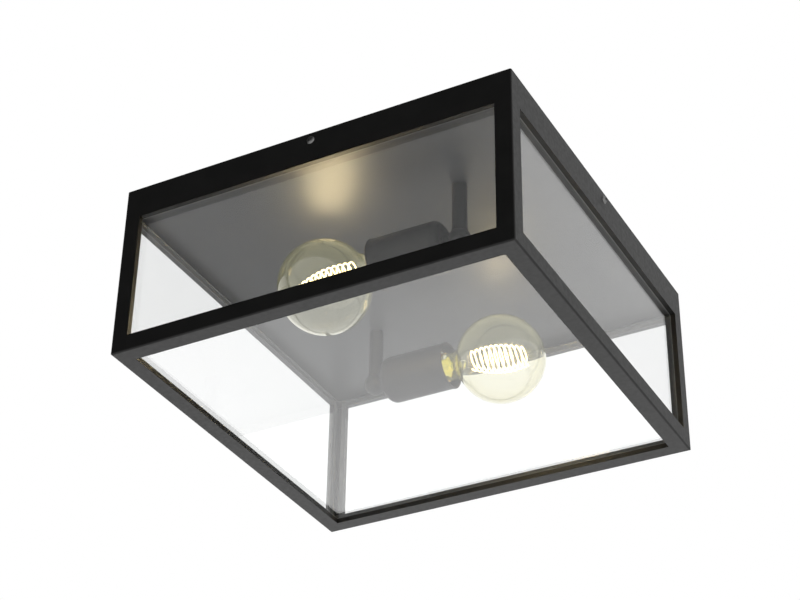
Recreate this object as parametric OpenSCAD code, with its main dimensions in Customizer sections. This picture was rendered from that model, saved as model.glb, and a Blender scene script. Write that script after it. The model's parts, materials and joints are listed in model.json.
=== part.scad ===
// Porch ceiling lantern: a square glazed steel frame round two globe bulbs on short arms.
// Sizes are millimetres. The origin is the middle of the ceiling face, +Z is up, and the
// whole lantern hangs below z = 0. The front is -Y, and the right side is +X.

/* [Lantern] */
// Width and depth of the square lantern
lantern_side = 360; // [350:1:380]
// Height from the ceiling to the underside of the frame
lantern_height = 162; // [158:1:185]
// Depth of the ceiling pan, from the ceiling to the panel seen from below
pan_depth = 20; // [20:0.5:22]

/* [Glazed frame] */
// Thickness of the folded sheet steel
sheet = 1.2; // [1:0.1:1.4]
// Seen width of the corner posts and of the bottom rails
bar_width = 15; // [14:0.5:18]
// Height of the top band that hides the ceiling pan
band_height = 29.5; // [28:0.5:34]
// Depth of the lip folded inwards round every window
lip_depth = 4.5; // [4:0.25:5]
// Radius of the frame's outer edges
edge_radius = 1.5; // [1.3:0.1:2]
// Thickness of the glass panes
pane_thickness = 3; // [2:0.5:3]
// Thickness of the silicone seal between lip and pane
seal_thickness = 0.5; // [0.3:0.1:0.6]
// How far each pane runs behind its lip
pane_overlap = 5; // [4:0.5:5]

/* [Side screws] */
// Depth of the side screws below the ceiling
screw_depth = 7; // [7:0.5:8]
// Shift of the left and right screws from the middle of their sides
side_screw_shift = 4; // [0:1:6]
// Radius of a side screw's button head
head_radius = 3.7; // [3.4:0.1:3.8]
// Height of a side screw's button head
head_height = 2; // [1.8:0.1:2.4]

/* [Lamp arms] */
// Distance of each lamp's axis from the middle of the lantern
lamp_row = 84; // [80:1:95]
// Distance of each stem from the middle of the pair, along the lamp's axis
stem_offset = 85; // [82:0.5:90]
// Shift of the pair of lamps to the right
pair_shift = 3; // [0:0.5:4]
// Depth of the lamp axis below the ceiling
lamp_depth = 75; // [74:0.5:80]
// Outside diameter of a stem tube
stem_diameter = 12.8; // [12.6:0.1:14]
// Outside diameter of a lampholder cup
holder_diameter = 42; // [42:0.5:45]
// Length of a lampholder cup
holder_length = 65; // [62:0.5:68]
// Droop of the bulb and its socket inside the cup, in degrees
bulb_droop = 6; // [0:0.5:6]

/* [Bulbs] */
// Diameter of a bulb's globe
globe_diameter = 80; // [78:0.5:80]
// Length of a bulb from its foot contact to the middle of its globe
globe_reach = 80; // [79:0.5:82]
// Length of the glowing filament
filament_length = 54; // [46:1:56]
// Greatest radius of the filament
filament_radius = 12.5; // [9:0.5:13]
// Droop of the filament from its bulb's axis, in degrees
filament_tilt = 4; // [0:1:5]

/* [Ceiling fixing] */
// Distance between the two ceiling slots of the mounting bar
slot_spacing = 160; // [140:5:180]
// End-to-end length of a ceiling slot
slot_length = 16; // [12:1:20]
// Width of a ceiling slot
slot_width = 5.5; // [4.5:0.5:6]
// Diameter of the supply cable's way through the grommet
cable_diameter = 10; // [8:0.5:11]

/* [Hidden] */
$fn = 64;

// Colours
paint = "#2b2b2b";
paint_light = "#3a3a3a";
steel = "#b9bcc0";
zinc = "#c9ccd0";
brass = "#c8a23c";
glass_clear = [0.85, 0.92, 0.92, 0.3];
glass_amber = [0.85, 0.80, 0.55, 0.35];
ceramic_white = "#e9e6de";
plastic_white = "#e4e4df";
rubber_black = "#1a1a1a";
seal_clear = "#cfd4d2";
glow = "#ffe2a0";
live_brown = "#6b3f22";
neutral_blue = "#2f5fa8";
earth_green = "#5f9a2f";

// Small distances shared by several pieces
eps = 0.01;
touch_gap = 0.05;
thread_gap = 0.05;

// Where the four sides are, as turns about Z from the right side
turn_right = 0;
turn_back = 90;
turn_left = 180;
turn_front = 270;

// Lantern and frame
half_side = lantern_side / 2;
window_edge = half_side - bar_width;
rail_top = -lantern_height + bar_width;
pane_face = half_side - lip_depth - seal_thickness;
pane_half = window_edge + pane_overlap;
seal_inset = 0.5;
seal_half = pane_half - seal_inset;

// Ceiling pan: the clear gap to the band holds the spacers and the heads of the pan screws
pan_gap = 1.8;
pan_half = half_side - sheet - pan_gap;
pan_corner = 2;
pan_top_gap = 0.5;
slot_clear = 0.25;

// Side screws, M4: the shank runs through band, spacer, pan wall and nut
shank_radius = 2;
nut_side = 7;
nut_thickness = 2.2;
screw_tip_beyond = 0.6;
nut_outer = pan_half - sheet - touch_gap;
shank_length = half_side - nut_outer + nut_thickness + screw_tip_beyond;
spacer_radius = 4;
notch_width = nut_side + 1;
notch_depth = sheet + nut_thickness + screw_tip_beyond + 0.5;
hex_radius = 1.45;
hex_depth = 1.2;

// Mounting bar
bar_thickness = 2;
bar_half_width = 20;
bar_half_length = pan_half - sheet - touch_gap;
ear_height = 14;
ear_notch = notch_width + 2;
pan_screw_offset = 13;
pan_screw_spare = 1;
pan_screw_depth = 7;
pan_head_radius = 3.6;
pan_head_height = 1.3;
grommet_place = [0, 40, 0];
grommet_radius = 8;
grommet_flange = 10.5;
grommet_flange_thickness = 1.5;

// Terminal block, on the pan in the middle of the pair of lamps
block_size = [26, 29, 12];
pole_pitch = 9;
pole_bore = 1.9;
terminal_screw_radius = 1.5;
terminal_screw_spacing = 14;
pole_rise = 5.3;
pole_depth = pan_depth - sheet - pole_rise;
wire_insert = 8;

// Earth stud on the pan, with the ring lug that its nut holds down
earth_place = [-44, -32, -pan_depth + sheet];
lug_radius = 4;
lug_thickness = 0.8;
lug_width = 3;
lug_length = 9;

// Arms, in a lamp's own frame: origin on the elbow, +X towards the bulb
stem_radius = stem_diameter / 2;
stem_bore = 5.05;
nipple_radius = 5;
wire_way = 4;
elbow_ball = 10;
elbow_neck = 8;
stem_foot = 9;
stem_top = lamp_depth - pan_depth;
nipple_reach = 10;
nipple_length = 18;
nipple_depth = 7;
stem_nut_radius = 8;
stem_nut_height = 4;
holder_rear = 12;
holder_wall = 1;
holder_round = 8;
rim_radius = 1.1;
holder_radius = holder_diameter / 2;

// Socket inside the cup, drooping with its bulb about a point near the front of the shell
foot_seat = 46.5;
droop_pivot = 62;
socket_radius = 15.5;
socket_seat = 22;
socket_reach = 21.5;
socket_front = foot_seat + socket_reach;
socket_cavity = 11;
socket_web = [foot_seat - 9.5, foot_seat - 1.5];
seat_depth = 5;
shell_radius = 13.8;
shell_bore = 13.3;
shell_thread = 0.35;
shell_span = [foot_seat + 0.5, foot_seat + 18];
contact_radius = 3.5;

// Bulb, in its own frame: origin on the globe's centre, +Z out through the globe's crown
globe_radius = globe_diameter / 2;
globe_wall = 0.8;
neck_radius = 12.5;
neck_fillet = 14;
foot_length = 4;
cap_length = 23;
cap_rear = -globe_reach + foot_length;
cap_front = cap_rear + cap_length;
neck_insert = 3.5;
neck_foot = cap_front - neck_insert;
cap_wall = 0.3;
cap_crest = 13.1;
cap_root = 12.3;
cap_skirt = 13.05;
cap_threads = 4;
thread_length = 14;
thread_span = [cap_rear, cap_rear + thread_length];
foot_radius = 4.8;
foot_height = 1;
bulb_centre = foot_seat + globe_reach;

// Filament, about the bulb's axis: a plain sleeve with the outer shape of the coil
filament_middle = -1;
filament_end_ratio = 0.68;
filament_wall = 0.4;
filament_steps = 12;
lead_radius = 0.35;
lead_gap = 0.3;
lead_rise = 2;

// Pinch of the glass mount, which holds the leads
pinch_place = -36;
pinch_size = [8, 3, 4];
lead_spread = 2.5;
flare_height = 9;

// Wires
wire_radius = 1;
wire_sides = 8;
wire_pair = 1.8;

// ---------------------------------------------------------------- shared shapes

// Square outline with rounded corners
module rounded_square(size, radius) {
    square([size - 2 * radius, size], center = true);
    square([size, size - 2 * radius], center = true);
    for (x = [-1, 1], y = [-1, 1])
        translate([x, y] * (size / 2 - radius))
            circle(radius);
}

// Tube along a straight line between two points
module rod(start, end, radius) {
    run = end - start;
    length = norm(run);
    translate(start)
        rotate([0, acos(run.z / length), atan2(run.y, run.x)])
            cylinder(h = length, r = radius, $fn = 24);
}

// A bar of the frame on the right side, mitred at both ends; the section is drawn in X and Z
module mitred_bar() {
    intersection() {
        rotate([90, 0, 0])
            linear_extrude(height = lantern_side, center = true)
                children();
        translate([0, 0, -lantern_height - 1])
            linear_extrude(height = lantern_height + 2)
                intersection() {
                    rounded_square(lantern_side, edge_radius);
                    polygon([[0, 0], [lantern_side, -lantern_side], [lantern_side, lantern_side]]);
                }
    }
}

// Hexagonal nut about Z, standing on z = 0, with a round bore
module nut(radius, height, bore) {
    difference() {
        cylinder(h = height, r = radius, $fn = 6);
        translate([0, 0, -eps])
            cylinder(h = height + 2 * eps, r = bore);
    }
}

// Where a side screw crosses the outer face of side number i, counted from the right side
function side_shift(i) = i % 2 == 0 ? side_screw_shift : 0;

// Puts its children on side number i, with +X outwards and the origin on the screw's axis
module at_side(i) {
    rotate([0, 0, 90 * i])
        translate([0, side_shift(i), -screw_depth])
            children();
}

// Puts its children in the frame of the front (-1) or back (+1) lamp
module at_lamp(row) {
    translate([pair_shift, 0, -lamp_depth])
        rotate([0, 0, row > 0 ? 0 : 180])
            translate([-stem_offset, lamp_row, 0])
                children();
}

// Droops its children about the socket's pivot, in a lamp's frame
module drooped() {
    translate([droop_pivot, 0, 0])
        rotate([0, bulb_droop, 0])
            translate([-droop_pivot, 0, 0])
                children();
}

// Puts its children in a bulb's frame
module at_bulb(row) {
    at_lamp(row)
        drooped()
            translate([bulb_centre, 0, 0])
                rotate([0, 90, 0])
                    children();
}

// ---------------------------------------------------------------- swept tubes

function unit(v) = v / norm(v);

// Points of a Catmull-Rom curve through the route, some to each leg
function route_point(a, b, c, d, t) =
    0.5 * (2 * b + (c - a) * t + (2 * a - 5 * b + 4 * c - d) * t * t
        + (3 * b - a - 3 * c + d) * t * t * t);
function smooth_route(route, steps) = [
    for (i = [0 : len(route) - 2], s = [0 : steps - 1])
        route_point(route[max(i - 1, 0)], route[i], route[i + 1],
            route[min(i + 2, len(route) - 1)], s / steps),
    route[len(route) - 1]
];

// Direction of the path at point i
function heading(path, i) = unit(path[min(i + 1, len(path) - 1)] - path[max(i - 1, 0)]);

// One side vector for each ring, each carried on from the ring before it without twist
function carried(side, direction) = unit(side - (side * direction) * direction);
function side_vectors(path, first) = [
    for (i = 0, side = carried(first, heading(path, 0));
        i < len(path);
        i = i + 1, side = i < len(path) ? carried(side, heading(path, i)) : side)
        side
];

// Round tube swept along a path, as one closed skin
module tube(path, radius, sides, first_side) {
    across = side_vectors(path, first_side);
    rings = len(path);
    points = [
        for (i = [0 : rings - 1], k = [0 : sides - 1])
            let (angle = 360 * k / sides, up = cross(heading(path, i), across[i]))
                path[i] + radius * (cos(angle) * across[i] + sin(angle) * up)
    ];
    walls = [
        for (i = [0 : rings - 2], k = [0 : sides - 1])
            let (a = i * sides + k, b = i * sides + (k + 1) % sides)
                each [[a, a + sides, b], [b, a + sides, b + sides]]
    ];
    start_cap = [for (k = [1 : sides - 2]) [0, k, k + 1]];
    last = (rings - 1) * sides;
    end_cap = [for (k = [1 : sides - 2]) [last, last + k + 1, last + k]];
    polyhedron(points = points, faces = concat(walls, start_cap, end_cap), convexity = 8);
}

// ---------------------------------------------------------------- ceiling unit

module slot_hole(length, width, height) {
    for (end = [-1, 1])
        translate([0, end * (length - width) / 2, 0])
            cylinder(h = height, r = width / 2);
    translate([-width / 2, -(length - width) / 2, 0])
        cube([width, length - width, height]);
}

module mounting_bar() {
    color(zinc)
        difference() {
            union() {
                translate([-bar_half_width, -bar_half_length, -bar_thickness])
                    cube([2 * bar_half_width, 2 * bar_half_length, bar_thickness]);
                for (end = [-1, 1])
                    translate([-bar_half_width, end * (bar_half_length - bar_thickness / 2)
                        - bar_thickness / 2, -ear_height])
                        cube([2 * bar_half_width, bar_thickness, ear_height]);
            }
            for (end = [-1, 1])
                translate([0, end * slot_spacing / 2, -bar_thickness - 1])
                    slot_hole(slot_length, slot_width, bar_thickness + 2);
            translate([grommet_place.x, grommet_place.y, -bar_thickness - 1])
                cylinder(h = bar_thickness + 2, r = grommet_radius);
            for (end = [-1, 1])
                translate([-ear_notch / 2, end * bar_half_length - ear_notch / 2, -ear_height - 1])
                    cube([ear_notch, ear_notch, ear_height + 1 - bar_thickness]);
            for (end = [-1, 1], x = [-1, 1])
                translate([x * pan_screw_offset, end * bar_half_length, -pan_screw_depth])
                    rotate([90, 0, 0])
                        cylinder(h = 4 * bar_thickness, r = shank_radius + thread_gap,
                            center = true);
        }
}

module ceiling_pan() {
    color(paint_light)
        difference() {
            translate([0, 0, -pan_depth])
                linear_extrude(height = pan_depth - pan_top_gap)
                    rounded_square(2 * pan_half, pan_corner);
            translate([0, 0, -pan_depth + sheet])
                linear_extrude(height = pan_depth)
                    rounded_square(2 * (pan_half - sheet), pan_corner - sheet);
            // Slots that the side screws leave downwards, with room for their nuts
            for (i = [0 : 3])
                at_side(i) {
                    translate([pan_half - sheet - 1, 0, 0])
                        rotate([0, 90, 0])
                            cylinder(h = sheet + 2, r = shank_radius + slot_clear);
                    translate([pan_half - sheet - 1, -shank_radius - slot_clear, -pan_depth])
                        cube([sheet + 2, 2 * (shank_radius + slot_clear), pan_depth]);
                    translate([pan_half - notch_depth, -notch_width / 2,
                        screw_depth - pan_depth - 1])
                        cube([notch_depth + 1, notch_width, sheet + 1 + eps]);
                }
            for (end = [-1, 1], x = [-1, 1])
                translate([x * pan_screw_offset, end * pan_half, -pan_screw_depth])
                    rotate([90, 0, 0])
                        cylinder(h = 4 * sheet, r = shank_radius + thread_gap, center = true);
            for (row = [-1, 1])
                at_lamp(row)
                    translate([0, 0, stem_top - 1])
                        cylinder(h = sheet + 2, r = nipple_radius + thread_gap);
        }
}

// Four low-headed screws that fix the pan to the ears of the mounting bar
module pan_screws() {
    color(steel)
        for (end = [-1, 1], x = [-1, 1])
            translate([x * pan_screw_offset, end * pan_half, -pan_screw_depth])
                rotate([-90 * end, 0, 0])
                    pan_screw();
}

module pan_screw() {
    grip = sheet + touch_gap + bar_thickness + pan_screw_spare;
    difference() {
        union() {
            translate([0, 0, touch_gap])
                cylinder(h = pan_head_height, r1 = pan_head_radius, r2 = pan_head_radius - 0.5);
            translate([0, 0, -grip])
                cylinder(h = grip + touch_gap + eps, r = shank_radius);
        }
        translate([-3, -0.4, pan_head_height - 0.7])
            cube([6, 0.8, 1]);
    }
}

module cable_grommet() {
    color(rubber_black)
        translate(grommet_place)
            difference() {
                union() {
                    translate([0, 0, -bar_thickness])
                        cylinder(h = bar_thickness, r = grommet_radius);
                    translate([0, 0, -bar_thickness - grommet_flange_thickness])
                        cylinder(h = grommet_flange_thickness, r = grommet_flange);
                }
                translate([0, 0, -bar_thickness - grommet_flange_thickness - 1])
                    cylinder(h = bar_thickness + grommet_flange_thickness + 2,
                        r = cable_diameter / 2);
            }
}

module terminal_block() {
    color(plastic_white)
        translate([pair_shift, 0, -pan_depth + sheet])
            difference() {
                translate([-block_size.x / 2, -block_size.y / 2, 0])
                    cube(block_size);
                for (pole = [-1 : 1]) {
                    translate([0, pole * pole_pitch, pole_rise])
                        rotate([0, 90, 0])
                            cylinder(h = block_size.x + 2, r = pole_bore, center = true);
                    for (x = [-1, 1])
                        translate([x * terminal_screw_spacing / 2, pole * pole_pitch, pole_rise])
                            cylinder(h = block_size.z, r = terminal_screw_radius + thread_gap);
                }
                for (gap = [-0.5, 0.5])
                    translate([-block_size.x / 2 - 1, gap * pole_pitch - 0.6, block_size.z - 3])
                        cube([block_size.x + 2, 1.2, 4]);
            }
}

module terminal_screws() {
    screw_length = 4;
    color(steel)
        for (pole = [-1 : 1], x = [-1, 1])
            translate([pair_shift + x * terminal_screw_spacing / 2, pole * pole_pitch,
                -pole_depth + wire_radius + touch_gap])
                difference() {
                    cylinder(h = screw_length, r = terminal_screw_radius);
                    translate([-2, -0.3, screw_length - 0.8])
                        cube([4, 0.6, 1]);
                }
}

// Welded stud with its nut and the ring lug of the earth wire
module earth_terminal() {
    stud_height = 7;
    nut_height = 3;
    color(steel)
        translate(earth_place) {
            cylinder(h = stud_height, r = shank_radius);
            translate([0, 0, lug_thickness + touch_gap])
                nut(lug_radius, nut_height, shank_radius + thread_gap);
            difference() {
                union() {
                    cylinder(h = lug_thickness, r = lug_radius);
                    translate([-lug_width / 2, 0, 0])
                        cube([lug_width, lug_length, lug_thickness]);
                }
                translate([0, 0, -1])
                    cylinder(h = lug_thickness + 2, r = shank_radius + thread_gap);
            }
        }
}

// ---------------------------------------------------------------- wires

// Route of a lamp wire in the lamp's frame, from the terminal block down the stem to the socket
block_x = stem_offset - block_size.x / 2 + wire_insert;
pole_height = lamp_depth - pole_depth;
function lamp_wire_route(side) = [
    [block_x, -lamp_row + pole_pitch * side, pole_height],
    [block_x - wire_insert - 1, -lamp_row + pole_pitch * side, pole_height],
    [64, -82.5 + 8.5 * side, pole_height],
    [55, -74.5 + 6.5 * side, pole_height + 1],
    [44.5, -61 + 4 * side, pole_height + 2],
    [22, -29 + 3 * side, 67],
    [6, -7 + 2 * side, 71],
    [0, wire_pair * side, 65],
    [0, wire_pair * side, 51],
    [0, wire_pair * side, 30],
    [0, wire_pair * side, 12],
    [1, wire_pair * side, 3],
    [6, wire_pair * side, 0],
    [16, wire_pair * side, 0],
    [26, wire_pair * side, 1],
    [32, 4 * side, 2],
    [36, 5 * side, 2]
];

module lamp_wire(side) {
    route = lamp_wire_route(side);
    path = smooth_route(route, 4);
    tube(path, wire_radius, wire_sides, [0, 0, 1]);
}

module live_wires() {
    color(live_brown)
        for (row = [-1, 1])
            at_lamp(row)
                lamp_wire(row);
}

module neutral_wires() {
    color(neutral_blue)
        for (row = [-1, 1])
            at_lamp(row)
                lamp_wire(-row);
}

// Route of the earth wire, from the block's middle pole to the ring lug on the pan. It leaves
// the block straight, then drops to pass under the lamp wires.
lug_wire_height = earth_place.z + lug_thickness + wire_radius + touch_gap;
earth_route = [
    [pair_shift - block_size.x / 2 + wire_insert, 0, -pole_depth],
    [pair_shift - block_size.x / 2 - 1, 0, -pole_depth],
    [-14, -0.2, -13.9],
    [-19, -1.2, -15.8],
    [-26, -3.2, -16.9],
    [-34, -7, -17],
    [-41.5, -13, -17],
    [earth_place.x, earth_place.y + lug_length + 3, lug_wire_height],
    [earth_place.x, earth_place.y + lug_radius + 1.5, lug_wire_height]
];

module earth_wire() {
    color(earth_green)
        tube(smooth_route(earth_route, 6), wire_radius, wire_sides, [0, 0, 1]);
}

// ---------------------------------------------------------------- lamp arms

module stem() {
    color(paint_light)
        translate([0, 0, stem_foot])
            difference() {
                cylinder(h = stem_top - stem_foot, r = stem_radius);
                translate([0, 0, -1])
                    cylinder(h = stem_top, r = stem_bore);
            }
}

module stem_nipples() {
    color(zinc)
        for (row = [-1, 1])
            at_lamp(row)
                translate([0, 0, stem_top - nipple_reach])
                    difference() {
                        cylinder(h = nipple_length, r = nipple_radius);
                        translate([0, 0, -1])
                            cylinder(h = nipple_length + 2, r = wire_way);
                    }
}

module stem_nuts() {
    color(zinc)
        for (row = [-1, 1])
            at_lamp(row)
                translate([0, 0, stem_top + sheet + touch_gap])
                    nut(stem_nut_radius, stem_nut_height, nipple_radius + thread_gap);
}

// Domed knuckle that turns the arm from the stem to the lampholder
module elbow() {
    spigot_top = stem_foot + 8;
    color(paint_light)
        difference() {
            union() {
                sphere(elbow_ball);
                rotate([0, 90, 0])
                    cylinder(h = holder_rear - touch_gap, r = elbow_neck);
                cylinder(h = spigot_top, r = stem_bore - thread_gap);
                cylinder(h = stem_foot - touch_gap, r = stem_radius + 0.6);
            }
            cylinder(h = spigot_top + 1, r = wire_way);
            sphere(wire_way);
            rotate([0, 90, 0])
                cylinder(h = holder_rear - nipple_depth, r = wire_way);
            translate([holder_rear - nipple_depth - 0.5, 0, 0])
                rotate([0, 90, 0])
                    cylinder(h = nipple_depth + 2, r = nipple_radius + thread_gap);
        }
}

// Section of the cup: radius along X, axis along Y, rear at y = 0
module cup_outline(inset) {
    round = holder_round - inset;
    square([holder_radius - holder_round, holder_length + 1]);
    translate([0, holder_round])
        square([holder_radius - inset, holder_length + 1 - holder_round]);
    translate([holder_radius - holder_round, holder_round])
        circle(round);
}

module holder() {
    color(paint_light)
        translate([holder_rear, 0, 0])
            rotate([0, 90, 0])
                difference() {
                    union() {
                        rotate_extrude()
                            difference() {
                                cup_outline(0);
                                translate([0, holder_wall])
                                    square([holder_radius - holder_round, holder_length + 2]);
                                translate([0, holder_round])
                                    square([holder_radius - holder_wall, holder_length + 2]);
                                translate([holder_radius - holder_round, holder_round])
                                    circle(holder_round - holder_wall);
                                translate([0, holder_length])
                                    square([holder_radius + 1, 2]);
                            }
                        translate([0, 0, holder_length - rim_radius])
                            rotate_extrude()
                                translate([holder_radius - rim_radius + 0.6, 0])
                                    circle(rim_radius, $fn = 24);
                    }
                    translate([0, 0, -1])
                        cylinder(h = holder_wall + 2, r = nipple_radius + thread_gap);
                }
}

// Threaded nipples and nuts that clamp each cup and socket to its elbow
module holder_nipples() {
    nipple_start = holder_rear - nipple_depth;
    nut_start = holder_rear + holder_wall + touch_gap;
    color(zinc)
        for (row = [-1, 1])
            at_lamp(row)
                rotate([0, 90, 0]) {
                    difference() {
                        union() {
                            translate([0, 0, nipple_start])
                                cylinder(h = socket_seat + seat_depth - nipple_start,
                                    r = nipple_radius);
                            translate([0, 0, nut_start])
                                cylinder(h = socket_seat - nut_start - touch_gap,
                                    r = stem_nut_radius, $fn = 6);
                        }
                        translate([0, 0, nipple_start - 1])
                            cylinder(h = socket_seat + seat_depth, r = wire_way);
                    }
                }
}

// Ceramic body: flat seat square to the cup, everything else drooped
module socket() {
    color(ceramic_white)
        difference() {
            intersection() {
                drooped()
                    rotate([0, 90, 0])
                        cylinder(h = socket_front, r = socket_radius);
                translate([socket_seat, -socket_radius * 2, -socket_radius * 2])
                    cube([socket_front, socket_radius * 4, socket_radius * 4]);
            }
            translate([socket_seat - 1, 0, 0])
                rotate([0, 90, 0])
                    cylinder(h = seat_depth + 1.5, r = nipple_radius + thread_gap);
            drooped() {
                translate([socket_seat + seat_depth, 0, 0])
                    rotate([0, 90, 0])
                        cylinder(h = socket_web[0] - socket_seat - seat_depth, r = socket_cavity);
                translate([socket_web[1] + 1, 0, 0])
                    rotate([0, 90, 0])
                        cylinder(h = socket_front, r = shell_radius + touch_gap);
            }
        }
}

// Section of a thread as radius against length: crests and roots in turn
function thread_points(span, turns, crest, root) = [
    for (i = [0 : 2 * turns])
        [i % 2 == 0 ? root : crest, span[0] + (span[1] - span[0]) * i / (2 * turns)]
];

module socket_shells() {
    shell_root = shell_bore + shell_thread;
    color(brass)
        for (row = [-1, 1])
            at_lamp(row)
                drooped()
                    rotate([0, 90, 0])
                        rotate_extrude()
                            polygon(concat(
                                thread_points(shell_span, cap_threads, shell_root, shell_bore),
                                [[shell_radius, shell_span[1]], [shell_radius, shell_span[0]]]
                            ));
}

module socket_contacts() {
    contact_tip = foot_seat - touch_gap;
    color(brass)
        for (row = [-1, 1])
            at_lamp(row)
                drooped()
                    translate([socket_web[1] + 1, 0, 0])
                        rotate([0, 90, 0])
                            cylinder(h = contact_tip - socket_web[1] - 1, r = contact_radius);
}

// ---------------------------------------------------------------- glazed frame

module band_section() {
    translate([half_side - sheet, -band_height])
        square([sheet, band_height]);
    translate([half_side - lip_depth, -band_height])
        square([lip_depth, sheet]);
}

module rail_section() {
    difference() {
        union() {
            translate([half_side - sheet, -lantern_height])
                square([sheet, bar_width]);
            translate([half_side - lip_depth, rail_top - sheet])
                square([lip_depth, sheet]);
            translate([window_edge, -lantern_height])
                square([bar_width, sheet]);
            translate([window_edge, -lantern_height])
                square([sheet, lip_depth]);
        }
        // Rounds the lower outer edge
        translate([half_side - edge_radius, -lantern_height + edge_radius])
            difference() {
                translate([0, -edge_radius - 1])
                    square([edge_radius + 1, edge_radius + 1]);
                circle(edge_radius);
            }
    }
}

module post_leg() {
    translate([half_side - sheet, window_edge])
        square([sheet, bar_width]);
    translate([half_side - lip_depth, window_edge])
        square([lip_depth, sheet]);
}

module band(turn) {
    color(paint)
        rotate([0, 0, turn])
            mitred_bar()
                band_section();
}

module rail(turn) {
    color(paint)
        rotate([0, 0, turn])
            mitred_bar()
                rail_section();
}

// Corner post between the rail and the band, at the corner a quarter turn on from its side
module post(turn) {
    color(paint)
        rotate([0, 0, turn])
            translate([0, 0, rail_top])
                linear_extrude(height = -band_height - rail_top)
                    intersection() {
                        rounded_square(lantern_side, edge_radius);
                        union() {
                            post_leg();
                            mirror([1, -1])
                                post_leg();
                        }
                    }
}

module side_pane(turn) {
    pane_top = -band_height + pane_overlap;
    pane_foot = rail_top - pane_overlap;
    color(glass_clear)
        rotate([0, 0, turn])
            translate([pane_face - pane_thickness, -pane_half, pane_foot])
                cube([pane_thickness, 2 * pane_half, pane_top - pane_foot]);
}

module pane_bottom() {
    color(glass_clear)
        translate([-pane_half, -pane_half, -lantern_height + lip_depth + seal_thickness])
            cube([2 * pane_half, 2 * pane_half, pane_thickness]);
}

// Clear seals: a ring behind the lips of each side window, and one round the bottom window
module pane_seals() {
    seal_top = -band_height + pane_overlap - seal_inset;
    seal_foot = rail_top - pane_overlap + seal_inset;
    color(seal_clear) {
        for (i = [0 : 3])
            rotate([0, 0, 90 * i])
                difference() {
                    translate([pane_face, -seal_half, seal_foot])
                        cube([seal_thickness, 2 * seal_half, seal_top - seal_foot]);
                    translate([pane_face - 1, -window_edge, rail_top])
                        cube([seal_thickness + 2, 2 * window_edge, -band_height - rail_top]);
                }
        translate([0, 0, -lantern_height + lip_depth])
            difference() {
                translate([-seal_half, -seal_half, 0])
                    cube([2 * seal_half, 2 * seal_half, seal_thickness]);
                translate([-window_edge, -window_edge, -1])
                    cube([2 * window_edge, 2 * window_edge, seal_thickness + 2]);
            }
    }
}

// ---------------------------------------------------------------- side screws

// Band on side number i with its hole for the side screw
module drilled_band(i) {
    color(paint)
        difference() {
            band(90 * i);
            at_side(i)
                translate([half_side - sheet - 1, 0, 0])
                    rotate([0, 90, 0])
                        cylinder(h = sheet + 2, r = shank_radius + slot_clear);
        }
}

module side_nuts() {
    color(zinc)
        for (i = [0 : 3])
            at_side(i)
                translate([nut_outer - nut_thickness, 0, 0])
                    difference() {
                        translate([0, -nut_side / 2, -nut_side / 2])
                            cube([nut_thickness, nut_side, nut_side]);
                        translate([-1, 0, 0])
                            rotate([0, 90, 0])
                                cylinder(h = nut_thickness + 2, r = shank_radius + thread_gap);
                    }
}

// Collars that keep the band off the pan wall when the screws are tight
module side_spacers() {
    color(plastic_white)
        for (i = [0 : 3])
            at_side(i)
                translate([pan_half + touch_gap, 0, 0])
                    rotate([0, 90, 0])
                        difference() {
                            cylinder(h = pan_gap - 2 * touch_gap, r = spacer_radius);
                            translate([0, 0, -1])
                                cylinder(h = pan_gap + 2, r = shank_radius + thread_gap);
                        }
}

// Button-headed screw with a hexagon socket
module side_screw(i) {
    dome_radius = (head_radius * head_radius + head_height * head_height) / (2 * head_height);
    color(steel)
        at_side(i)
            translate([half_side + touch_gap, 0, 0])
                rotate([0, 90, 0])
                    difference() {
                        union() {
                            intersection() {
                                translate([0, 0, head_height - dome_radius])
                                    sphere(dome_radius);
                                cylinder(h = head_height, r = head_radius);
                            }
                            translate([0, 0, -shank_length - touch_gap])
                                cylinder(h = shank_length + touch_gap + eps, r = shank_radius);
                        }
                        translate([0, 0, head_height - hex_depth])
                            cylinder(h = hex_depth + 1, r = hex_radius, $fn = 6);
                    }
}

// ---------------------------------------------------------------- bulbs

// Outline of the glass as radius against length: a globe that a fillet blends into the neck
module globe_outline(inset) {
    fillet_x = neck_radius + neck_fillet;
    fillet_y = -sqrt(pow(globe_radius + neck_fillet, 2) - pow(fillet_x, 2));
    meet = [fillet_x, fillet_y] * (globe_radius - inset) / (globe_radius + neck_fillet);
    intersection() {
        circle(globe_radius - inset);
        translate([0, -globe_radius])
            square(2 * globe_radius);
    }
    difference() {
        polygon([
            [0, neck_foot - inset],
            [neck_radius - inset, neck_foot - inset],
            [neck_radius - inset, fillet_y],
            meet,
            [0, meet.y]
        ]);
        translate([fillet_x, fillet_y])
            circle(neck_fillet + inset);
    }
}

module bulb_glass(row) {
    color(glass_amber)
        at_bulb(row)
            rotate_extrude($fn = 96)
                difference() {
                    globe_outline(0);
                    globe_outline(globe_wall);
                }
}

// Thin brass cap with a rolled thread
module bulb_cap(row) {
    outer = concat(
        thread_points(thread_span, cap_threads, cap_crest, cap_root),
        [[cap_skirt, thread_span[1] + 1], [cap_skirt, cap_front]]
    );
    inner = [for (i = [len(outer) - 1 : -1 : 0]) [outer[i].x - cap_wall, outer[i].y]];
    color(brass)
        at_bulb(row)
            rotate_extrude()
                polygon(concat(outer, inner));
}

// Black glass insulator, and the contact button on it
module bulb_foot(row) {
    at_bulb(row) {
        color(rubber_black)
            translate([0, 0, -globe_reach + foot_height + touch_gap])
                cylinder(h = cap_rear + globe_reach - foot_height - 2 * touch_gap,
                    r1 = foot_radius + 0.5, r2 = cap_root - 0.3);
        color(brass)
            translate([0, 0, -globe_reach])
                cylinder(h = foot_height, r1 = foot_radius - 1, r2 = foot_radius);
    }
}

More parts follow.
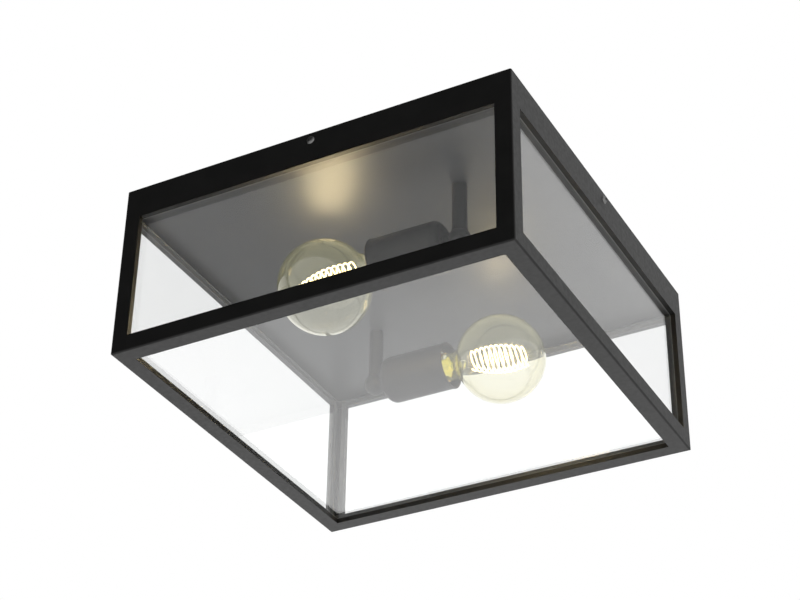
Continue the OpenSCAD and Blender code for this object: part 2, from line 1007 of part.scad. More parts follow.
// Glass mount: a flare on the neck, a stalk, and the pinch that holds the leads
module bulb_mount(row) {
    flare_radius = neck_radius - globe_wall - 0.4;
    stalk_radius = 3.5;
    stalk_foot = neck_foot + flare_height;
    color(glass_clear)
        at_bulb(row) {
            translate([0, 0, neck_foot])
                cylinder(h = stalk_foot - neck_foot, r1 = flare_radius, r2 = stalk_radius);
            translate([0, 0, stalk_foot - eps])
                cylinder(h = pinch_place - stalk_foot - pinch_size.z, r = stalk_radius);
            translate([-pinch_size.x / 2, -pinch_size.y / 2, pinch_place - pinch_size.z - 2 * eps])
                cube(pinch_size);
        }
}

// A point drooped about the filament's middle, in the bulb's frame
function tilted(p) =
    let (along = p.z - filament_middle)
    [
        p.x * cos(filament_tilt) + along * sin(filament_tilt),
        p.y,
        filament_middle + along * cos(filament_tilt) - p.x * sin(filament_tilt)
    ];

// Radius of the filament at a fraction of its length, fuller in the middle
function filament_swell(f) =
    filament_radius * (filament_end_ratio + (1 - filament_end_ratio) * sin(180 * f));

// Side of the filament's section at a distance from the middle of its wall
function filament_side(offset) = [
    for (i = [0 : filament_steps])
        let (f = i / filament_steps)
            [filament_swell(f) + offset, filament_length * (f - 0.5)]
];

module bulb_filament(row) {
    outer = filament_side(filament_wall / 2);
    inner = filament_side(-filament_wall / 2);
    color(glow)
        at_bulb(row)
            translate([0, 0, filament_middle])
                rotate([0, filament_tilt, 0])
                    rotate_extrude()
                        polygon(concat(outer, [for (i = [filament_steps : -1 : 0]) inner[i]]));
}

// Lead wires from the pinch to both ends of the filament
module bulb_leads(row) {
    end_radius = filament_radius * filament_end_ratio;
    end_reach = filament_length / 2 + lead_radius + lead_gap;
    near_end = tilted([end_radius, 0, filament_middle - end_reach]);
    far_end = tilted([end_radius, 0, filament_middle + end_reach]);
    near_foot = [lead_spread, 0, pinch_place + lead_radius];
    far_foot = [-lead_spread, 0, pinch_place + lead_radius];
    far_bend = [-lead_spread, 0, far_end.z + lead_rise];
    color(steel)
        at_bulb(row) {
            rod(near_foot, near_end, lead_radius);
            union() {
                rod(far_foot, far_bend, lead_radius);
                translate(far_bend)
                    sphere(lead_radius, $fn = 24);
                rod(far_bend, far_end, lead_radius);
            }
        }
}

// ---------------------------------------------------------------- nodes

mounting_bar();
ceiling_pan();
pan_screws();
cable_grommet();
terminal_block();
terminal_screws();
earth_terminal();
live_wires();
neutral_wires();
earth_wire();
at_lamp(-1) stem();  // front_stem
at_lamp(1) stem();  // back_stem
stem_nipples();
stem_nuts();
at_lamp(-1) elbow();  // front_elbow
at_lamp(1) elbow();  // back_elbow
at_lamp(-1) holder();  // front_holder
at_lamp(1) holder();  // back_holder
holder_nipples();
at_lamp(-1) socket();  // front_socket
at_lamp(1) socket();  // back_socket
socket_shells();
socket_contacts();
drilled_band(3);  // band_front
drilled_band(0);  // band_right
drilled_band(1);  // band_back
drilled_band(2);  // band_left
post(turn_front);  // post_front_right
post(turn_right);  // post_back_right
post(turn_back);  // post_back_left
post(turn_left);  // post_front_left
rail(turn_front);  // rail_front
rail(turn_right);  // rail_right
rail(turn_back);  // rail_back
rail(turn_left);  // rail_left
side_pane(turn_front);  // pane_front
side_pane(turn_right);  // pane_right
side_pane(turn_back);  // pane_back
side_pane(turn_left);  // pane_left
pane_bottom();
pane_seals();
side_nuts();
side_spacers();
side_screw(3);  // side_screw_front
side_screw(0);  // side_screw_right
side_screw(1);  // side_screw_back
side_screw(2);  // side_screw_left
bulb_glass(-1);  // front_bulb_glass
bulb_cap(-1);  // front_bulb_cap
bulb_foot(-1);  // front_bulb_foot
bulb_mount(-1);  // front_bulb_mount
bulb_leads(-1);  // front_bulb_leads
bulb_filament(-1);  // front_bulb_filament
bulb_glass(1);  // back_bulb_glass
bulb_cap(1);  // back_bulb_cap
bulb_foot(1);  // back_bulb_foot
bulb_mount(1);  // back_bulb_mount
bulb_leads(1);  // back_bulb_leads
bulb_filament(1);  // back_bulb_filament
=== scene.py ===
"""Porch ceiling lantern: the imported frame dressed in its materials, in a plain studio.

Smooth globes and wires and the filaments' coils stand for the nodes of the same parts.
"""

import json
import math

import bpy
from mathutils import Matrix, Vector


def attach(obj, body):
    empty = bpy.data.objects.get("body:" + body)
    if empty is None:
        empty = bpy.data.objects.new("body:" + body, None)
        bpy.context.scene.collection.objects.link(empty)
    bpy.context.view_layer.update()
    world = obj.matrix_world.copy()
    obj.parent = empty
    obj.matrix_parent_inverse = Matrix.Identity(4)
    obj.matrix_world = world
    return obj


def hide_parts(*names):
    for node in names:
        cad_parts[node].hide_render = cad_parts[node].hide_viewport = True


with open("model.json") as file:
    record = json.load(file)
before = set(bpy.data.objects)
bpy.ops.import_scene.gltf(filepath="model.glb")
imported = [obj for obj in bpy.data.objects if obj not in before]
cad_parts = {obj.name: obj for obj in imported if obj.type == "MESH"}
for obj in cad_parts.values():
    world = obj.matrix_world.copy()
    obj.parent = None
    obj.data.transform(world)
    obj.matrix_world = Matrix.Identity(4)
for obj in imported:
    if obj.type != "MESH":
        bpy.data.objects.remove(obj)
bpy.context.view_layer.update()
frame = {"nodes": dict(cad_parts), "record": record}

MM = 0.001
WHITE = (1, 1, 1, 1)
FRONT = -1
BACK = 1
LAMP_NAMES = {FRONT: "front", BACK: "back"}
ARM_PARTS = ("stem", "elbow", "holder")

# Places and sizes in millimetres, as in the part's source
PAIR_SHIFT = 3
LAMP_DEPTH = 75
LAMP_ROW = 84
STEM_OFFSET = 85
DROOP_PIVOT = 62
BULB_DROOP = math.radians(6)
BULB_CENTRE = 126.5
GLOBE_RADIUS = 40
GLOBE_WALL = 0.8
NECK_RADIUS = 12.5
NECK_FILLET = 14
NECK_FOOT = -56.5
FILAMENT_LENGTH = 54
FILAMENT_RADIUS = 12.5
FILAMENT_END_RATIO = 0.68
FILAMENT_MIDDLE = -1
FILAMENT_TILT = math.radians(4)
BLOCK_LENGTH = 26
POLE_PITCH = 9
POLE_DEPTH = 13.5
WIRE_INSERT = 8
WIRE_RADIUS = 1
WIRE_PAIR = 1.8

# The filament's coil, where the source has a plain sleeve: turns, then millimetres
COIL_TURNS = 11
COIL_STRAND = 1.4
COIL_SLANT = 2.5
COIL_SET_BACK = 1

# The cement disc in millimetres, with its foot and top measured from the neck's foot
CEMENT_RADIUS = 11.5
CEMENT_FOOT = 0.3
CEMENT_TOP = 3.1
CEMENT_SIDE_DROP = 0.6
CEMENT_SHOULDER = 0.4
CEMENT_SHOULDER_DROP = 0.2
CEMENT_FLAT = 4
CEMENT_PINHOLE = 0.3

# Radius in millimetres left open at the crown, so that its faces keep four corners
GLOBE_PINHOLE = 0.02

# How finely the smooth shapes are divided
GLOBE_STEPS = 40
FILLET_STEPS = 10
GLOBE_SEGMENTS = 96
CEMENT_SEGMENTS = 64
COIL_STEPS_PER_TURN = 40
COIL_SIDES = 10
LAMP_WIRE_STEPS = 6
EARTH_WIRE_STEPS = 8
WIRE_SIDES = 14

# The photograph's camera: lens and sensor in millimetres, place in metres, and its axes,
# whose rows are its right, up and backward directions
CAMERA_LENS = 86.38
CAMERA_SENSOR = 36
CAMERA_PLACE = Vector((0.65513, -1.23067, -0.96705))
CAMERA_AXES = Matrix((
    (0.88289, 0.46941, 0.01295),
    (0.24691, -0.48752, 0.83747),
    (0.39943, -0.73620, -0.54633),
))

# The studio in metres, and its levels of light
LANTERN_MIDDLE = Vector((0, 0, -0.08))
FLOOR_HEIGHT = -2.3
FLOOR_REACH = 8
FLOOR_LIFT = 0.45
WORLD_LIGHT = 0.45

# Flags that dim the world in gloss: direction, cosines of the outer and inner edge, level inside
FLAGS = (
    (Vector((-0.33, -0.77, 0.55)).normalized(), 0.2, 0.6, 0.08),
    (Vector((0.4, 0.74, 0.55)).normalized(), 0.55, 0.9, 0.78),
)

# The bulbs' own light: watts, colour, and millimetres that it lies above the filament's middle
GLOW_POWER = {FRONT: 0.42, BACK: 0.07}
GLOW_COLOUR = (1.0, 0.8, 0.46)
GLOW_RISE = 13


# ---------------------------------------------------------------- materials

class Nodes:
    """The nodes of a material or world being built, with short ways to add and link them."""

    def __init__(self, owner):
        owner.use_nodes = True
        self.tree = owner.node_tree
        self.tree.nodes.clear()

    def node(self, kind, inputs=None, **settings):
        """Adds a node, and links each input that is a socket or sets one that is a value."""
        made = self.tree.nodes.new(kind)
        for key, value in settings.items():
            setattr(made, key, value)
        for key, value in (inputs or {}).items():
            if isinstance(value, bpy.types.NodeSocket):
                self.tree.links.new(value, made.inputs[key])
            else:
                made.inputs[key].default_value = value
        return made

    def between(self, factor, low, high, start=0.3, end=0.7, **settings):
        """Maps a factor that runs from start to end onto low to high."""
        made = self.node("ShaderNodeMapRange", {"Value": factor, "From Min": start, "From Max": end,
                                                "To Min": low, "To Max": high}, **settings)
        return made.outputs[0]

    def mix(self, factor, first, second, kind="FLOAT"):
        """Mixes two numbers, or two colours where kind is RGBA."""
        made = self.node("ShaderNodeMix", {"Factor": factor, "A": first, "B": second},
                         data_type=kind)
        return made.outputs["Result"]

    def multiply(self, first, second):
        """Multiplies two numbers."""
        made = self.node("ShaderNodeMath", {0: first, 1: second}, operation="MULTIPLY")
        return made.outputs[0]


class Surface(Nodes):
    """A material being built."""

    def __init__(self, name):
        self.material = bpy.data.materials.new(name)
        super().__init__(self.material)
        self.place = self.node("ShaderNodeTexCoord").outputs["Object"]

    def noise(self, scale, detail=3, stretch=(1, 1, 1)):
        """Noise at a scale in features per metre."""
        mapped = self.node("ShaderNodeMapping", {"Vector": self.place, "Scale": stretch})
        made = self.node("ShaderNodeTexNoise", {"Vector": mapped.outputs[0], "Scale": scale,
                                                "Detail": detail})
        return made.outputs["Fac"]

    def blend(self, factor, first, second, start=0.3, end=0.7):
        """Blends two colours as a factor runs from start to end."""
        return self.mix(self.between(factor, 0, 1, start, end), (*first, 1), (*second, 1), "RGBA")

    def bump(self, height, strength, distance):
        """Relief from a height map, with its depth in metres."""
        made = self.node("ShaderNodeBump", {"Height": height, "Strength": strength,
                                            "Distance": distance})
        return made.outputs[0]

    def principled(self, **inputs):
        """The main shader; an underscore in a key stands for a space in the socket's name."""
        named = {key.replace("_", " "): value for key, value in inputs.items()}
        return self.node("ShaderNodeBsdfPrincipled", named).outputs[0]

    def emission(self, strength):
        """White light of its own."""
        return self.node("ShaderNodeEmission", {"Color": WHITE, "Strength": strength}).outputs[0]

    def switch(self, ray, shader, other):
        """Shows one shader, but the other to a kind of ray."""
        return self.node("ShaderNodeMixShader", {0: ray, 1: shader, 2: other}).outputs[0]

    def finish(self, shader):
        """Links the shader to the material's output."""
        self.node("ShaderNodeOutputMaterial", {"Surface": shader})
        return self.material

    def finish_glass(self, shader):
        """Finishes a clear material whose shadows and diffuse light pass straight through."""
        rays = self.node("ShaderNodeLightPath").outputs
        for ray in ("Is Diffuse Ray", "Is Shadow Ray"):
            clear = self.node("ShaderNodeBsdfTransparent").outputs[0]
            shader = self.switch(rays[ray], shader, clear)
        return self.finish(shader)


def powder_coat(name, dark, light, gloss, peel, specular):
    """Powder coat: a faint change of tone, and the fine orange peel of its surface."""
    s = Surface(name)
    tone = s.blend(s.noise(45), dark, light)
    rough = s.between(s.noise(260, detail=2), *gloss)
    skin = s.bump(s.noise(1400), peel, 0.00002)
    return s.finish(s.principled(Base_Color=tone, Roughness=rough, Specular_IOR_Level=specular,
                                 Normal=skin))


def frame_paint():
    """Black coat of the glazed frame."""
    return powder_coat("frame_paint", dark=(0.007, 0.007, 0.0066), light=(0.01, 0.01, 0.0095),
                       gloss=(0.42, 0.5), peel=0.3, specular=0.33)


def panel_paint():
    """Smoother coat of the ceiling pan, paler than the frame's."""
    return powder_coat("panel_paint", dark=(0.062, 0.065, 0.068), light=(0.069, 0.072, 0.075),
                       gloss=(0.41, 0.46), peel=0.05, specular=0.6)


def arm_shaded_paint():
    """The pan's paint on the spun and turned arms, rougher, and darker with painted shade."""
    # The darker tone than the pan's is painted shade; only the roughness differs in the coat
    # itself.
    return powder_coat("arm_shaded_paint", dark=(0.022, 0.022, 0.022), light=(0.028, 0.028, 0.028),
                       gloss=(0.5, 0.58), peel=0.25, specular=0.4)


def zinc_steel():
    """Zinc plate with its cool, cloudy patches."""
    s = Surface("zinc_steel")
    tone = s.blend(s.noise(120, detail=5), (0.5, 0.52, 0.54), (0.66, 0.67, 0.68))
    rough = s.between(s.noise(420, detail=4), 0.3, 0.46)
    skin = s.bump(s.noise(900), 0.2, 0.00004)
    return s.finish(s.principled(Base_Color=tone, Metallic=1.0, Roughness=rough, Normal=skin))


def screw_steel():
    """Dull blackened steel with fine tool marks."""
    s = Surface("screw_steel")
    tone = s.blend(s.noise(300), (0.15, 0.15, 0.148), (0.24, 0.24, 0.236))
    rough = s.between(s.noise(800), 0.34, 0.46)
    skin = s.bump(s.noise(3000, stretch=(1, 1, 6)), 0.25, 0.00003)
    return s.finish(s.principled(Base_Color=tone, Metallic=1.0, Roughness=rough, Normal=skin))


def brass():
    """Drawn brass with a little tarnish."""
    s = Surface("brass")
    tone = s.blend(s.noise(180, detail=5), (0.62, 0.44, 0.13), (0.83, 0.65, 0.24))
    rough = s.between(s.noise(700), 0.3, 0.44)
    skin = s.bump(s.noise(1600), 0.15, 0.00003)
    return s.finish(s.principled(Base_Color=tone, Metallic=1.0, Roughness=rough, Normal=skin))


def pane_glass():
    """Clear float glass with a trace of green and of waviness."""
    s = Surface("pane_glass")
    tone = s.blend(s.noise(14), (0.992, 1.0, 0.998), (0.997, 1.0, 1.0))
    wave = s.bump(s.noise(9, detail=1), 0.02, 0.0004)
    return s.finish_glass(s.principled(Base_Color=tone, Roughness=0.0, IOR=1.5,
                                       Transmission_Weight=1.0, Normal=wave))


def bulb_glass():
    """Amber-coated glass, deeper where the eye meets its skin at a slant, with a faint painted glow
    of the filament's light.
    """
    s = Surface("bulb_glass")
    slant = s.node("ShaderNodeLayerWeight", {"Blend": 0.32}).outputs["Facing"]
    tone = s.blend(slant, (0.95, 0.935, 0.846), (0.86, 0.8, 0.46), start=0.15, end=0.95)
    wave = s.bump(s.noise(40, detail=1), 0.04, 0.0005)
    # The faint emission is a painted glow: the filament's light scattered in the glass.
    return s.finish_glass(s.principled(Base_Color=tone, Roughness=0.0, IOR=1.5,
                                       Transmission_Weight=1.0, Normal=wave,
                                       Emission_Color=(1.0, 1.0, 0.4, 1), Emission_Strength=0.015))


def mount_glass():
    """Drawn glass of the bulb's inner mount."""
    s = Surface("mount_glass")
    tone = s.blend(s.noise(90), (0.94, 0.93, 0.88), (0.98, 0.97, 0.93))
    draw = s.bump(s.noise(60, stretch=(4, 4, 1)), 0.2, 0.0004)
    return s.finish_glass(s.principled(Base_Color=tone, Roughness=0.02, IOR=1.5,
                                       Transmission_Weight=1.0, Normal=draw))


def filament():
    """Glowing filament, a little dimmer between its hottest places."""
    s = Surface("filament")
    heat = s.between(s.noise(220), 2.8, 4.4)
    return s.finish(s.principled(Base_Color=(0.9, 0.75, 0.5, 1), Roughness=0.6,
                                 Emission_Color=(1.0, 0.8, 0.42, 1), Emission_Strength=heat))


def cement():
    """Yellow basing cement, with a painted glow of the bulb's light that reaches it through the
    neck.
    """
    s = Surface("cement")
    tone = s.blend(s.noise(500, detail=5), (0.5, 0.48, 0.05), (0.7, 0.68, 0.14))
    skin = s.bump(s.noise(900, detail=4), 0.6, 0.0003)
    # The emission is a painted glow: the bulb's light falling on the cement.
    return s.finish(s.principled(Base_Color=tone, Roughness=0.45, Normal=skin,
                                 Emission_Color=(0.8, 0.78, 0.06, 1), Emission_Strength=0.3))


def ceramic():
    """Glazed ceramic with faint specks."""
    s = Surface("ceramic")
    tone = s.blend(s.noise(700, detail=5), (0.74, 0.71, 0.65), (0.82, 0.8, 0.75),
                   start=0.35, end=0.6)
    rough = s.between(s.noise(90), 0.2, 0.3)
    skin = s.bump(s.noise(160), 0.15, 0.0002)
    return s.finish(s.principled(Base_Color=tone, Roughness=rough, Coat_Weight=0.4, Normal=skin))


def black_glass():
    """Opaque black glass of the cap's insulator."""
    s = Surface("black_glass")
    tone = s.blend(s.noise(260), (0.012, 0.012, 0.015), (0.03, 0.028, 0.034))
    skin = s.bump(s.noise(200), 0.2, 0.0002)
    return s.finish(s.principled(Base_Color=tone, Roughness=0.12, Normal=skin))


def white_plastic():
    """Moulded nylon, slightly yellowed, with a fine moulded grain."""
    s = Surface("white_plastic")
    tone = s.blend(s.noise(70), (0.74, 0.73, 0.67), (0.81, 0.81, 0.77))
    rough = s.between(s.noise(300), 0.42, 0.55)
    skin = s.bump(s.noise(1500), 0.25, 0.00008)
    return s.finish(s.principled(Base_Color=tone, Roughness=rough, Subsurface_Weight=0.05,
                                 Subsurface_Scale=0.002, Normal=skin))


def rubber():
    """Matt black rubber with a dusty bloom."""
    s = Surface("rubber")
    tone = s.blend(s.noise(200, detail=5), (0.018, 0.018, 0.018), (0.05, 0.05, 0.048),
                   start=0.4, end=0.75)
    skin = s.bump(s.noise(1100), 0.4, 0.0001)
    return s.finish(s.principled(Base_Color=tone, Roughness=0.78, Normal=skin))


def silicone():
    """Cloudy silicone bead."""
    s = Surface("silicone")
    tone = s.blend(s.noise(150), (0.13, 0.135, 0.135), (0.18, 0.185, 0.185))
    skin = s.bump(s.noise(260), 0.3, 0.0003)
    return s.finish(s.principled(Base_Color=tone, Roughness=0.4, Normal=skin))


def jacket(name, dark, light):
    """Plastic insulation of a wire, with faint drawing marks."""
    s = Surface(name)
    tone = s.blend(s.noise(350), dark, light)
    skin = s.bump(s.noise(900, detail=2), 0.2, 0.0001)
    return s.finish(s.principled(Base_Color=tone, Roughness=0.36, Normal=skin))


def earth_jacket():
    """Green insulation with yellow stripes."""
    s = Surface("earth_jacket")
    bands = s.node("ShaderNodeTexWave", {"Vector": s.place, "Scale": 70.0, "Distortion": 1.5,
                                         "Detail": 1.0}, bands_direction="DIAGONAL")
    tone = s.blend(bands.outputs["Fac"], (0.07, 0.28, 0.05), (0.8, 0.68, 0.05),
                   start=0.55, end=0.62)
    skin = s.bump(s.noise(900, detail=2), 0.2, 0.0001)
    return s.finish(s.principled(Base_Color=tone, Roughness=0.36, Normal=skin))


FINISHES = {
    "frame_paint": frame_paint(),
    "panel_paint": panel_paint(),
    "zinc_steel": zinc_steel(),
    "screw_steel": screw_steel(),
    "brass": brass(),
    "pane_glass": pane_glass(),
    "bulb_glass": bulb_glass(),
    "mount_glass": mount_glass(),
    "filament": filament(),
    "ceramic": ceramic(),
    "black_glass": black_glass(),
    "white_plastic": white_plastic(),
    "rubber": rubber(),
    "silicone": silicone(),
    "live_jacket": jacket("live_jacket", (0.13, 0.055, 0.025), (0.18, 0.08, 0.035)),
    "neutral_jacket": jacket("neutral_jacket", (0.03, 0.1, 0.34), (0.05, 0.14, 0.42)),
    "earth_jacket": earth_jacket(),
}
CEMENT = cement()
ARM_SHADED_PAINT = arm_shaded_paint()


def dress_nodes():
    """Gives each node of the frame its slot's finish, and the arms a rougher copy of theirs,
    darkened as painted shade.
    """
    for subpart in frame["record"]["subparts"]:
        mesh = frame["nodes"][subpart["node"]].data
        is_arm = subpart["node"].split("_")[-1] in ARM_PARTS
        mesh.materials.clear()
        # The arms' darker copy of the paint is painted shade.
        mesh.materials.append(ARM_SHADED_PAINT if is_arm else FINISHES[subpart["material_slot"]])


# ---------------------------------------------------------------- places

def lamp_frame(row):
    """Metres from a lamp's own frame in millimetres."""
    turn = 0 if row == BACK else math.pi
    return (Matrix.Scale(MM, 4) @ Matrix.Translation((PAIR_SHIFT, 0, -LAMP_DEPTH))
            @ Matrix.Rotation(turn, 4, "Z") @ Matrix.Translation((-STEM_OFFSET, LAMP_ROW, 0)))


def bulb_frame(row):
    """Metres from a bulb's own frame: origin on the globe's centre, +Z out through its crown."""
    droop = (Matrix.Translation((DROOP_PIVOT, 0, 0)) @ Matrix.Rotation(BULB_DROOP, 4, "Y")
             @ Matrix.Translation((BULB_CENTRE - DROOP_PIVOT, 0, 0)))
    return lamp_frame(row) @ droop @ Matrix.Rotation(math.pi / 2, 4, "Y")


# ---------------------------------------------------------------- shapes

def add_object(name, data):
    """Adds an object with its data to the scene."""
    made = bpy.data.objects.new(name, data)
    bpy.context.scene.collection.objects.link(made)
    return made


def piece(name, points, faces, place, slot, body, stands_for=(), finish=None):
    """A smooth mesh that rides on a body, takes its finish from a slot and stands for CAD nodes."""
    mesh = bpy.data.meshes.new(name)
    mesh.from_pydata([place @ Vector(point) for point in points], [], faces)
    mesh.shade_smooth()
    mesh.materials.append(finish or FINISHES[slot])
    made = add_object(name, mesh)
    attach(made, body)
    if stands_for:
        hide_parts(*stands_for)
    return made


def turned(outline, segments):
    """Points and faces of a closed outline of (radius, height) turned about Z."""
    count = len(outline)
    points = []
    faces = []
    for i in range(segments):
        angle = 2 * math.pi * i / segments
        points += [(r * math.cos(angle), r * math.sin(angle), z) for r, z in outline]
        after = (i + 1) % segments
        for k in range(count):
            following = (k + 1) % count
            faces.append((i * count + k, after * count + k,
                          after * count + following, i * count + following))
    return points, faces


def swept(path, radius, sides, first=0):
    """Points and faces of a round tube along a path, numbered from first."""
    points = []
    across = None
    last = len(path) - 1
    for i, point in enumerate(path):
        heading = (path[min(i + 1, last)] - path[max(i - 1, 0)]).normalized()
        across = heading.orthogonal() if across is None else across
        across = (across - heading * across.dot(heading)).normalized()
        up = heading.cross(across)
        for k in range(sides):
            angle = 2 * math.pi * k / sides
            points.append(point + radius * (math.cos(angle) * across + math.sin(angle) * up))
    faces = []
    for i in range(last):
        for k in range(sides):
            a = first + i * sides + k
            b = first + i * sides + (k + 1) % sides
            faces.append((a, b, b + sides, a + sides))
    faces.append(tuple(first + k for k in reversed(range(sides))))
    faces.append(tuple(first + last * sides + k for k in range(sides)))
    return points, faces


def smooth_route(route, steps):
    """Points of a Catmull-Rom curve through a route."""
    route = [Vector(point) for point in route]
    last = len(route) - 1
    path = []
    for i in range(last):
        a, b = route[max(i - 1, 0)], route[i]
        c, d = route[i + 1], route[min(i + 2, last)]
        for step in range(steps):
            t = step / steps
            path.append(0.5 * (2 * b + (c - a) * t + (2 * a - 5 * b + 4 * c - d) * t ** 2
                               + (3 * b - a - 3 * c + d) * t ** 3))
    return path + [route[last]]


# ---------------------------------------------------------------- bulbs

def globe_outline(inset):
    """(radius, height) points of the glass from its crown to its neck's foot."""
    globe = GLOBE_RADIUS - inset
    fillet = NECK_FILLET + inset
    fillet_x = NECK_RADIUS + NECK_FILLET
    fillet_y = -math.sqrt((GLOBE_RADIUS + NECK_FILLET) ** 2 - fillet_x ** 2)
    meet_angle = math.atan2(fillet_y, fillet_x)
    points = [(GLOBE_PINHOLE, globe)]
    for i in range(1, GLOBE_STEPS + 1):
        angle = math.pi / 2 + (meet_angle - math.pi / 2) * i / GLOBE_STEPS
        points.append((globe * math.cos(angle), globe * math.sin(angle)))
    for i in range(1, FILLET_STEPS + 1):
        angle = meet_angle + math.pi - meet_angle * i / FILLET_STEPS
        points.append((fillet_x + fillet * math.cos(angle), fillet_y + fillet * math.sin(angle)))
    points.append((NECK_RADIUS - inset, NECK_FOOT))
    return points


def make_globe(row):
    """Thin blown glass, one smooth closed skin from outside to inside."""
    name = LAMP_NAMES[row]
    outline = globe_outline(0)[::-1] + globe_outline(GLOBE_WALL)
    points, faces = turned(outline, GLOBE_SEGMENTS)
    piece(f"{name}_globe", points, faces, bulb_frame(row), "bulb_glass", f"bulb_{name}",
          [f"{name}_bulb_glass"])


def coil_point(fraction):
    """Point of the filament: a slanted helix, fuller in the middle, tilted down as a whole."""
    angle = 2 * math.pi * COIL_TURNS * fraction
    fullness = FILAMENT_END_RATIO + (1 - FILAMENT_END_RATIO) * math.sin(math.pi * fraction)
    x = FILAMENT_RADIUS * fullness * math.cos(angle)
    y = FILAMENT_RADIUS * fullness * math.sin(angle)
    along = FILAMENT_LENGTH * (fraction - 0.5) + COIL_SLANT * math.cos(angle) - COIL_SET_BACK
    return Vector((
        x * math.cos(FILAMENT_TILT) + along * math.sin(FILAMENT_TILT),
        y,
        FILAMENT_MIDDLE + along * math.cos(FILAMENT_TILT) - x * math.sin(FILAMENT_TILT),
    ))


def make_filament(row):
    """The glowing strand. It casts no shadow, because its turns would streak the panel."""
    name = LAMP_NAMES[row]
    steps = COIL_TURNS * COIL_STEPS_PER_TURN
    coil = [coil_point(i / steps) for i in range(steps + 1)]
    tail = Vector((0, COIL_STRAND, 0))
    path = [coil[0] - tail] + coil + [coil[-1] + tail]
    points, faces = swept(path, COIL_STRAND / 2, COIL_SIDES)
    strand = piece(f"{name}_filament", points, faces, bulb_frame(row), "filament", f"bulb_{name}",
                   [f"{name}_bulb_filament"])
    strand.visible_shadow = False


def make_cement(row):
    """Basing cement seen through the neck's foot, just under the cap's rim."""
    name = LAMP_NAMES[row]
    foot = NECK_FOOT + CEMENT_FOOT
    top = NECK_FOOT + CEMENT_TOP
    outline = [
        (CEMENT_PINHOLE, foot),
        (CEMENT_RADIUS, foot),
        (CEMENT_RADIUS, top - CEMENT_SIDE_DROP),
        (CEMENT_RADIUS - CEMENT_SHOULDER, top - CEMENT_SHOULDER_DROP),
        (CEMENT_FLAT, top),
        (CEMENT_PINHOLE, top),
    ]
    points, faces = turned(outline, CEMENT_SEGMENTS)
    piece(f"{name}_cement", points, faces, bulb_frame(row), "brass", f"bulb_{name}", finish=CEMENT)


# ---------------------------------------------------------------- wires

def lamp_wire_route(side):
    """The source's route of a lamp wire in its lamp's frame, from terminal block to socket."""
    start = STEM_OFFSET - BLOCK_LENGTH / 2 + WIRE_INSERT
    row = -LAMP_ROW + POLE_PITCH * side
    height = LAMP_DEPTH - POLE_DEPTH
    return [
        (start, row, height),
        (start - WIRE_INSERT - 1, row, height),
        (64, -82.5 + 8.5 * side, height),
        (55, -74.5 + 6.5 * side, height + 1),
        (44.5, -61 + 4 * side, height + 2),
        (22, -29 + 3 * side, 67),
        (6, -7 + 2 * side, 71),
        (0, WIRE_PAIR * side, 65),
        (0, WIRE_PAIR * side, 51),
        (0, WIRE_PAIR * side, 30),
        (0, WIRE_PAIR * side, 12),
        (1, WIRE_PAIR * side, 3),
        (6, WIRE_PAIR * side, 0),
        (16, WIRE_PAIR * side, 0),
        (26, WIRE_PAIR * side, 1),
        (32, 4 * side, 2),
        (36, 5 * side, 2),
    ]


# The source's route of the earth wire in millimetres, from the block's middle pole to the lug
EARTH_ROUTE = [
    (-2, 0, -13.5),
    (-11, 0, -13.5),
    (-14, -0.2, -13.9),
    (-19, -1.2, -15.8),
    (-26, -3.2, -16.9),
    (-34, -7, -17),
    (-41.5, -13, -17),
    (-44, -20, -16.95),
    (-44, -26.5, -16.95),
]


def make_lamp_wires(name, slot, polarity):
    """The two lamp wires of one colour, one to each lamp."""
    points = []
    faces = []
    for row in (FRONT, BACK):
        path = smooth_route(lamp_wire_route(row * polarity), LAMP_WIRE_STEPS)
        place = lamp_frame(row)
        more, sides = swept(path, WIRE_RADIUS, WIRE_SIDES, first=len(points))
        points += [place @ point for point in more]
        faces += sides
    piece(name + "_smooth", points, faces, Matrix.Identity(4), slot, "ceiling_unit", [name])


def make_earth_wire():
    """The earth lead, one smooth tube."""
    path = smooth_route(EARTH_ROUTE, EARTH_WIRE_STEPS)
    points, faces = swept(path, WIRE_RADIUS, WIRE_SIDES)
    piece("earth_wire_smooth", points, faces, Matrix.Scale(MM, 4), "earth_jacket",
          "ceiling_unit", ["earth_wire"])


# ---------------------------------------------------------------- studio

def make_world():
    """White to the eye and through glass, flags in its gloss, and plain light on all the rest."""
    world = bpy.data.worlds.new("studio")
    bpy.context.scene.world = world
    sky = Nodes(world)
    rays = sky.node("ShaderNodeLightPath").outputs
    toward = sky.node("ShaderNodeTexCoord").outputs["Generated"]
    gloss = 1.0
    for direction, edge, core, inside in FLAGS:
        facing = sky.node("ShaderNodeVectorMath", {0: toward, 1: direction},
                          operation="DOT_PRODUCT").outputs["Value"]
        flag = sky.between(facing, 1.0, inside, edge, core, interpolation_type="SMOOTHSTEP")
        gloss = sky.multiply(flag, gloss)
    level = sky.mix(rays["Is Glossy Ray"], WORLD_LIGHT, gloss)
    for ray in ("Is Transmission Ray", "Is Camera Ray"):
        level = sky.mix(rays[ray], level, 1.0)
    light = sky.node("ShaderNodeBackground", {"Color": WHITE, "Strength": level}).outputs[0]
    sky.node("ShaderNodeOutputWorld", {"Surface": light})


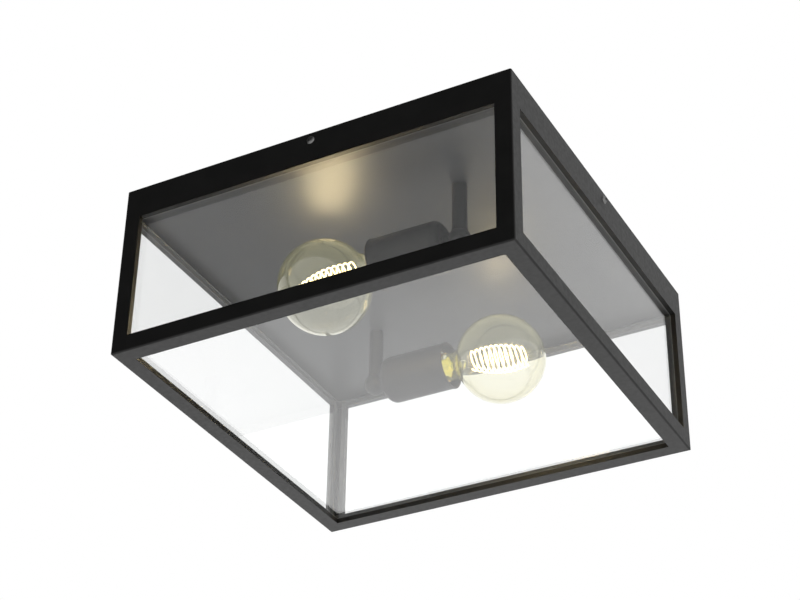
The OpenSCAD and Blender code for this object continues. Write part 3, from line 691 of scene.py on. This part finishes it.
def make_floor():
    """Floor well below the lantern, pale to the eye with its shadow, white in gloss and glass."""
    mesh = bpy.data.meshes.new("floor")
    corners = [(-1, -1), (1, -1), (1, 1), (-1, 1)]
    mesh.from_pydata([(x * FLOOR_REACH, y * FLOOR_REACH, FLOOR_HEIGHT) for x, y in corners],
                     [], [(0, 1, 2, 3)])
    floor = add_object("floor", mesh)
    s = Surface("floor")
    tone = s.blend(s.noise(3), (0.86, 0.86, 0.86), (0.9, 0.9, 0.9))
    shader = s.principled(Base_Color=tone, Roughness=0.8)
    rays = s.node("ShaderNodeLightPath").outputs
    pale = s.emission(s.multiply(rays["Is Camera Ray"], FLOOR_LIFT))
    shader = s.node("ShaderNodeAddShader", {0: shader, 1: pale}).outputs[0]
    for ray in ("Is Glossy Ray", "Is Transmission Ray"):
        shader = s.switch(rays[ray], shader, s.emission(1.0))
    mesh.materials.append(s.finish(shader))


def make_lamp(name, place, size, power, facing=None):
    """Soft square light that looks at the lantern, or that lies facing a way and shows in gloss."""
    light = bpy.data.lights.new(name, "AREA")
    light.size = size
    light.energy = power
    lamp = add_object(name, light)
    lamp.location = place
    toward = facing or LANTERN_MIDDLE - Vector(place)
    lamp.rotation_euler = toward.to_track_quat("-Z", "Y").to_euler()
    lamp.visible_glossy = facing is not None
    lamp.visible_transmission = False
    lamp.visible_camera = False


def make_glow(row):
    """A bulb's own warm light, in gloss only, and sampled so that its ball shows in no mirror."""
    light = bpy.data.lights.new(f"{LAMP_NAMES[row]}_glow", "POINT")
    light.shadow_soft_size = FILAMENT_RADIUS * MM
    light.cycles.use_multiple_importance_sampling = False
    light.energy = GLOW_POWER[row]
    light.color = GLOW_COLOUR
    glow = add_object(light.name, light)
    middle = bulb_frame(row) @ Vector((0, 0, FILAMENT_MIDDLE))
    glow.location = middle + Vector((0, 0, GLOW_RISE * MM))
    glow.visible_diffuse = False
    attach(glow, f"bulb_{LAMP_NAMES[row]}")


def make_camera():
    """Camera at the photograph's place."""
    data = bpy.data.cameras.new("photo")
    data.lens = CAMERA_LENS
    data.sensor_width = CAMERA_SENSOR
    camera = add_object("photo", data)
    camera.matrix_world = Matrix.Translation(CAMERA_PLACE) @ CAMERA_AXES.transposed().to_4x4()
    bpy.context.scene.camera = camera


dress_nodes()
for lamp_row in (FRONT, BACK):
    make_globe(lamp_row)
    make_filament(lamp_row)
    make_cement(lamp_row)
make_lamp_wires("live_wires", "live_jacket", polarity=1)
make_lamp_wires("neutral_wires", "neutral_jacket", polarity=-1)
make_earth_wire()

make_camera()
make_world()
make_floor()
make_lamp("key", place=(1.0, -1.6, -1.6), size=1.8, power=5)
make_lamp("fill", place=(-1.6, 0.4, -1.4), size=1.8, power=4)
make_lamp("underlight", place=(-1.65, 3.1, -2.2), size=3, power=32, facing=Vector((0, 0, 1)))
make_glow(FRONT)
make_glow(BACK)

scene = bpy.context.scene
scene.view_settings.view_transform = "Standard"
